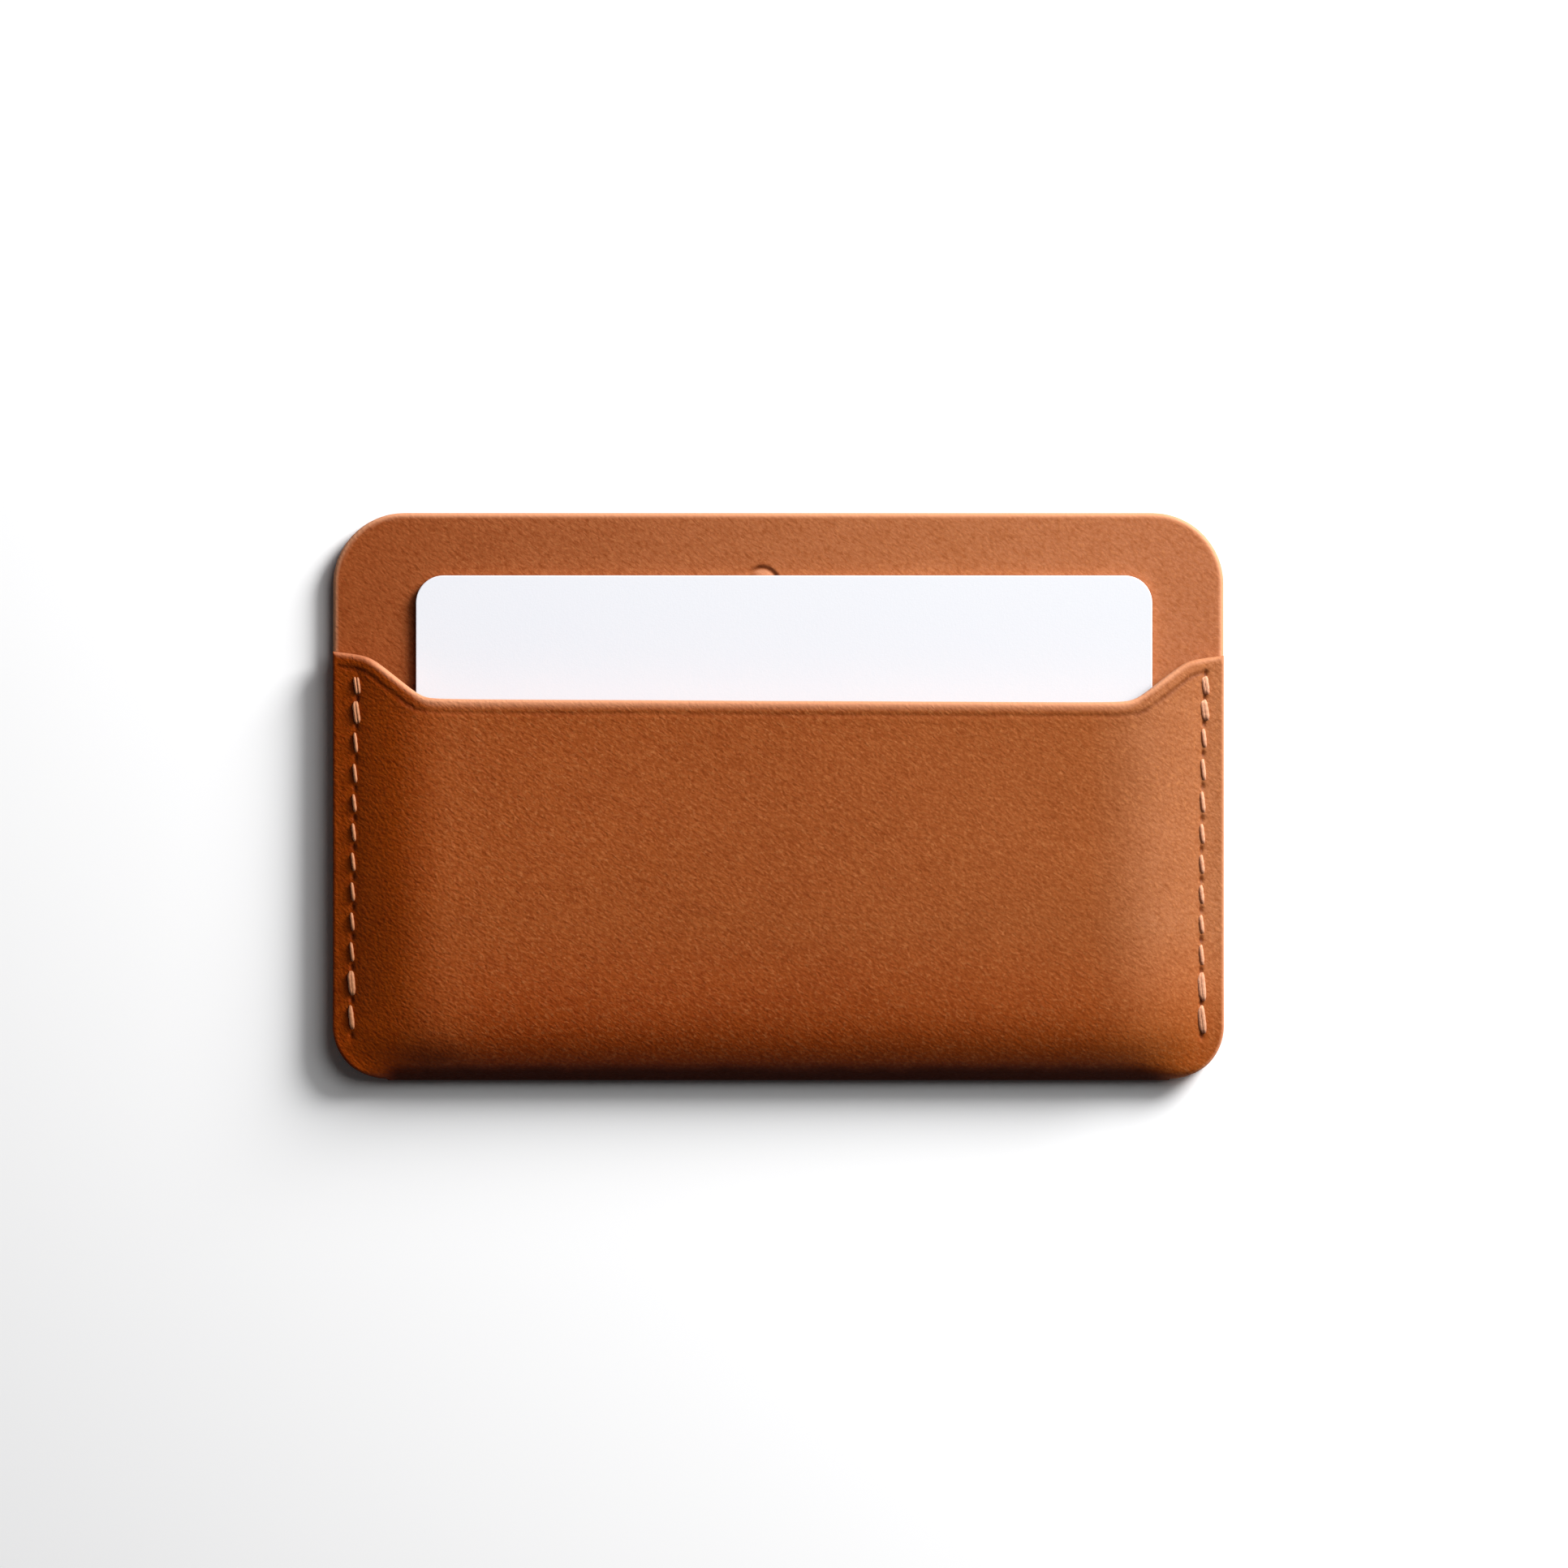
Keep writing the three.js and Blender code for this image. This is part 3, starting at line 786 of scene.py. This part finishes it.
class Nodes:
    """Short-hand for building one material's node tree."""

    def __init__(self, name):
        self.material = bpy.data.materials.new(name)
        self.material.use_nodes = True
        self.tree = self.material.node_tree
        self.shader = self.tree.nodes["Principled BSDF"]
        self.place = self.add("ShaderNodeTexCoord").outputs["Object"]

    def add(self, kind, links=(), **settings):
        """A new node, with its settings, and its sockets set or linked."""
        node = self.tree.nodes.new(kind)
        for key, value in settings.items():
            setattr(node, key, value)
        for socket, source in links:
            self.set(node, socket, source)
        return node

    def set(self, node, socket, source):
        """Links a socket to another node's output, or sets its own value."""
        target = node.inputs[socket]
        if isinstance(source, bpy.types.NodeSocket):
            self.tree.links.new(source, target)
        else:
            target.default_value = source

    def stretched(self, long, short, turn):
        """Coordinates for a pattern that is long one way and short the other."""
        scale = (long * MM, short * MM, short * MM)
        links = [("Vector", self.place), ("Scale", scale), ("Rotation", (0, 0, turn))]
        return self.add("ShaderNodeMapping", links, vector_type="TEXTURE").outputs["Vector"]

    def across(self, low, high, start=0.0, end=1.0, axis="X"):
        """A value that changes evenly between two places along one axis."""
        parts = self.add("ShaderNodeSeparateXYZ", [("Vector", self.place)])
        return self.ramp(parts.outputs[axis], low * MM, high * MM, start, end)

    def bands(self, stops):
        """A colour that changes along X through the given (place, colour) stops."""
        first, last = stops[0][0], stops[-1][0]
        node = self.add("ShaderNodeValToRGB", [("Fac", self.across(first, last))])
        steps = node.color_ramp.elements
        for x, _ in stops[1:-1]:
            steps.new((x - first) / (last - first))
        for step, (_, colour) in zip(steps, stops):
            step.color = colour
        return node.outputs["Color"]

    def noise(self, scale, detail, rough, vector=None, distortion=0.0):
        """Soft noise, with its scale in repeats per metre unless the vector is stretched."""
        links = [("Vector", vector or self.place), ("Scale", scale), ("Detail", detail)]
        links += [("Roughness", rough), ("Distortion", distortion)]
        return self.add("ShaderNodeTexNoise", links).outputs["Fac"]

    def cells(self, vector):
        """Rounded cells, one per unit of the stretched vector."""
        links = [("Vector", vector), ("Scale", 1.0)]
        return self.add("ShaderNodeTexVoronoi", links, feature="SMOOTH_F1").outputs["Distance"]

    def ramp(self, source, low, high, start=0.0, end=1.0):
        """Maps low..high evenly to start..end, and holds the ends."""
        links = [("Value", source), ("From Min", low), ("From Max", high)]
        links += [("To Min", start), ("To Max", end)]
        return self.add("ShaderNodeMapRange", links, clamp=True).outputs["Result"]

    def times(self, first, second):
        """The product of two values."""
        links = [(0, first), (1, second)]
        return self.add("ShaderNodeMath", links, operation="MULTIPLY").outputs["Value"]

    def mix(self, colour, share, other, blend="MIX"):
        """Moves a colour towards another by the given share."""
        links = [(0, share), (6, colour), (7, other)]
        return self.add("ShaderNodeMix", links, data_type="RGBA", blend_type=blend).outputs[2]

    def tint(self, colour, share, factor):
        """Multiplies a colour by a factor, by the given share."""
        return self.mix(colour, share, factor, "MULTIPLY")

    def attribute(self, name):
        """One of the mesh's own point values."""
        return self.add("ShaderNodeAttribute", (), attribute_name=name).outputs["Fac"]

    def bump(self, height, distance, strength=1.0, below=None):
        """A normal raised by a height pattern, over another normal where one is given."""
        links = [("Height", height), ("Distance", distance * MM), ("Strength", strength)]
        if below is not None:
            links.append(("Normal", below))
        return self.add("ShaderNodeBump", links).outputs["Normal"]

    def finish(self, **values):
        """Sets the shader's sockets, named with _ for a space, and returns the material."""
        for key, value in values.items():
            self.set(self.shader, key.replace("_", " "), value)
        return self.material


def tones_and_painted_light(nodes, tones):
    """The tones across the case, with painted shade along the foot and painted light at the bottom
    left corner.
    """
    colour = nodes.bands(tones)
    foot = nodes.across(FOOT_SHADE_FROM, FOOT_SHADE_TO, 1.0, 0.0, "Y")
    colour = nodes.tint(colour, nodes.times(foot, nodes.across(-43, -33, 0.1, 1.0)), FOOT_SHADE_TINT)
    left = nodes.across(-47, -41, 1.0, 0.0)
    low = nodes.across(-31, -24, 1.0, 0.0, "Y")
    return nodes.tint(colour, nodes.times(left, low), CORNER_LIGHT_TINT)


def grained(nodes, colour, blotch, crease, pebble, pore):
    """The colour broken up by drifts, patches, valleys between pebbles, creases and pores, with
    painted glints on ridges and in flecks.
    """
    glint_share = nodes.across(-46, -36, 0.15, 1.0)
    drift = nodes.noise(38, 3, 0.55)
    colour = nodes.tint(colour, nodes.ramp(drift, 0.3, 0.7, 0.0, 0.12), DRIFT_TINT)
    colour = nodes.tint(colour, nodes.ramp(blotch, 0.35, 0.7, 0.0, 0.30), PATCH_TINT)
    colour = nodes.tint(colour, nodes.ramp(pebble, 0.25, 0.8, 0.0, 0.5), VALLEY_TINT)
    furrows = nodes.ramp(crease, 0.32, 0.50, 0.7, 0.0)
    furrows = nodes.times(furrows, nodes.across(-30, 40, 1.0, 0.6))
    colour = nodes.tint(colour, furrows, FURROW_TINT)
    # Paler ridges and flecks: painted glints, faint on the shaded left flank.
    ridges = nodes.ramp(crease, 0.54, 0.70, 0.0, 0.22)
    colour = nodes.mix(colour, nodes.times(ridges, glint_share), GLINT_COLOUR)
    colour = nodes.tint(colour, nodes.ramp(pore, 0.35, 0.65, 0.0, 0.34), PORE_TINT)
    glints = nodes.ramp(nodes.noise(2400, 2, 0.6), 0.54, 0.78, 0.0, 0.34)
    return nodes.mix(colour, nodes.times(glints, glint_share), GLINT_COLOUR)


def pale_edges_and_painted_shade(nodes, colour, blotch):
    """Pale cut edges with painted highlight, and painted shade with the dark crease, from the
    mesh's "edge" and "deep" values.
    """
    edge = nodes.ramp(nodes.attribute("edge"), 0.0, 1.0, 0.0, PALE_EDGE_AND_HIGHLIGHT_SHARE)
    colour = nodes.mix(colour, edge, PALE_EDGE_AND_HIGHLIGHT_COLOUR)
    deep = nodes.times(nodes.attribute("deep"), nodes.ramp(blotch, 0.3, 0.7, 0.75, 1.25))
    colour = nodes.tint(colour, nodes.ramp(deep, 0.03, 0.85), DEEP_TINT)
    return nodes.mix(colour, nodes.ramp(deep, 0.03, 0.85, 0.0, 0.8), DEEP_COLOUR)


def grain_bump(nodes, depth, crease, pebble, pore):
    """The grain's normal: creases, then pebbles over them, then pores."""
    folds = nodes.times(nodes.ramp(crease, 0.3, 0.7), nodes.across(-45, 30, 0.8, 0.5))
    pebbles = nodes.times(pebble, nodes.across(-45, -25, 1.6, 1.0))
    normal = nodes.bump(pebbles, depth, below=nodes.bump(folds, depth))
    return nodes.bump(pore, 0.2 * depth, 0.8, normal)


def leather(name, tones, grain_depth):
    """Aniline tan leather: pebble grain, short slanting creases, mottled dye, pale edges, and
    painted light, shade and glints.
    """
    nodes = Nodes(name)
    blotch = nodes.noise(260, 4, 0.6)
    crease = nodes.noise(1.0, 3, 0.6, nodes.stretched(0.80, 0.34, GRAIN_TURN), 0.7)
    pebble = nodes.cells(nodes.stretched(0.42, 0.34, GRAIN_TURN))
    pore = nodes.noise(6200, 2, 0.6)
    colour = grained(nodes, tones_and_painted_light(nodes, tones), blotch, crease, pebble, pore)
    return nodes.finish(
        Base_Color=pale_edges_and_painted_shade(nodes, colour, blotch),
        Roughness=nodes.ramp(blotch, 0.3, 0.75, 0.46, 0.54),
        Specular_IOR_Level=0.09,
        Normal=grain_bump(nodes, grain_depth, crease, pebble, pore),
    )


def thread_material():
    """Waxed thread, paler where its fibres catch the light, and darker towards the left: painted
    shade.
    """
    nodes = Nodes("waxed_thread")
    fibre = nodes.noise(2600, 3, 0.6)
    dark = nodes.bands(THREAD_DARK_TONES)
    return nodes.finish(
        Base_Color=nodes.mix(dark, nodes.ramp(fibre, 0.3, 0.7), nodes.bands(THREAD_LIGHT_TONES)),
        Roughness=0.6,
        Specular_IOR_Level=0.25,
        Sheen_Weight=0.05,
        Normal=nodes.bump(fibre, 0.04),
    )


def card_material():
    """Satin white plastic with a faint haze, darker towards the right: painted shade against the
    brighter light there.
    """
    nodes = Nodes("card_plastic")
    haze = nodes.noise(90, 3, 0.5)
    tooth = nodes.noise(5200, 2, 0.5)
    colour = nodes.mix(CARD_LEFT_COLOUR, nodes.across(-42, 44), CARD_RIGHT_COLOUR)
    return nodes.finish(
        Base_Color=nodes.tint(colour, nodes.ramp(haze, 0.3, 0.7, 0.0, 0.5), CARD_HAZE_TINT),
        Roughness=nodes.ramp(haze, 0.3, 0.7, 0.36, 0.44),
        Normal=nodes.bump(tooth, 0.006),
    )


def floor_material():
    """Matt white paper."""
    nodes = Nodes("paper_floor")
    return nodes.finish(Base_Color=FLOOR_COLOUR, Roughness=0.9, Specular_IOR_Level=0.1)


def dress(thing, material):
    """Gives an object its one material."""
    thing.data.materials.append(material)


def pieces():
    """Every piece of the card holder, on the body that it belongs to."""
    tan = leather("tan_leather", BODY_TONES_WITH_PAINTED_LIGHT, BODY_GRAIN)
    inner_tan = leather("lining_tan", LINING_TONES_WITH_PAINTED_LIGHT, LINING_GRAIN)
    linen = thread_material()

    case = case_leather()
    dress(case, tan)
    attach(case, "holder")
    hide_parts("outer_body")

    facing = back_lining()
    dress(facing, inner_tan)
    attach(facing, "holder")
    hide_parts("back_lining")

    for side, word in ((-1, "left"), (1, "right")):
        for make, kind in ((needle_thread, "needle"), (bobbin_thread, "bobbin")):
            strand = make(side, f"{kind}_stitches_{word}")
            dress(strand, linen)
            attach(strand, "holder")
            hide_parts(f"{kind}_thread_{word}")

    card = plain_card()
    dress(card, card_material())
    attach(card, "card")
    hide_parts("card")


def area_light(name, azimuth, zenith, distance, size, power):
    """A round soft light that faces the object, placed by its direction in degrees."""
    data = bpy.data.lights.new(name, "AREA")
    data.shape = "DISK"
    data.size = size * MM
    data.energy = power
    light = bpy.data.objects.new(name, data)
    around, down = math.radians(azimuth), math.radians(zenith)
    light.location = (
        distance * MM * math.sin(down) * math.cos(around),
        distance * MM * math.sin(down) * math.sin(around),
        distance * MM * math.cos(down),
    )
    light.rotation_euler = (down, 0, around + math.pi / 2)
    bpy.context.scene.collection.objects.link(light)


def studio():
    """White paper floor, a large soft light from the upper right, one above it and a weak fill."""
    half = FLOOR_HALF
    corners = [(-half, -half, 0), (half, -half, 0), (half, half, 0), (-half, half, 0)]
    floor = build_mesh("floor", corners, [(0, 1, 2, 3)])
    floor.location.z = FLOOR_Z * MM
    dress(floor, floor_material())
    floor.visible_glossy = False

    area_light("key", azimuth=43, zenith=65.2, distance=680, size=354, power=10.0)
    area_light("overhead", azimuth=43, zenith=40.9, distance=680, size=605, power=2.26)

    world = bpy.data.worlds.new("studio")
    world.use_nodes = True
    background = world.node_tree.nodes["Background"]
    background.inputs["Color"].default_value = (1, 1, 1, 1)
    background.inputs["Strength"].default_value = FILL
    bpy.context.scene.world = world
    bpy.context.scene.view_settings.view_transform = "Standard"


def camera():
    """Straight down, with a long lens."""
    data = bpy.data.cameras.new("camera")
    data.sensor_width = SENSOR
    data.lens = SENSOR * (CAMERA_Z - VIEW_LEVEL) / VIEW_WIDTH
    data.clip_end = CLIP_END * MM
    eye = bpy.data.objects.new("camera", data)
    eye.location = (VIEW_X * MM, VIEW_Y * MM, CAMERA_Z * MM)
    bpy.context.scene.collection.objects.link(eye)
    bpy.context.scene.camera = eye


pieces()
studio()
camera()
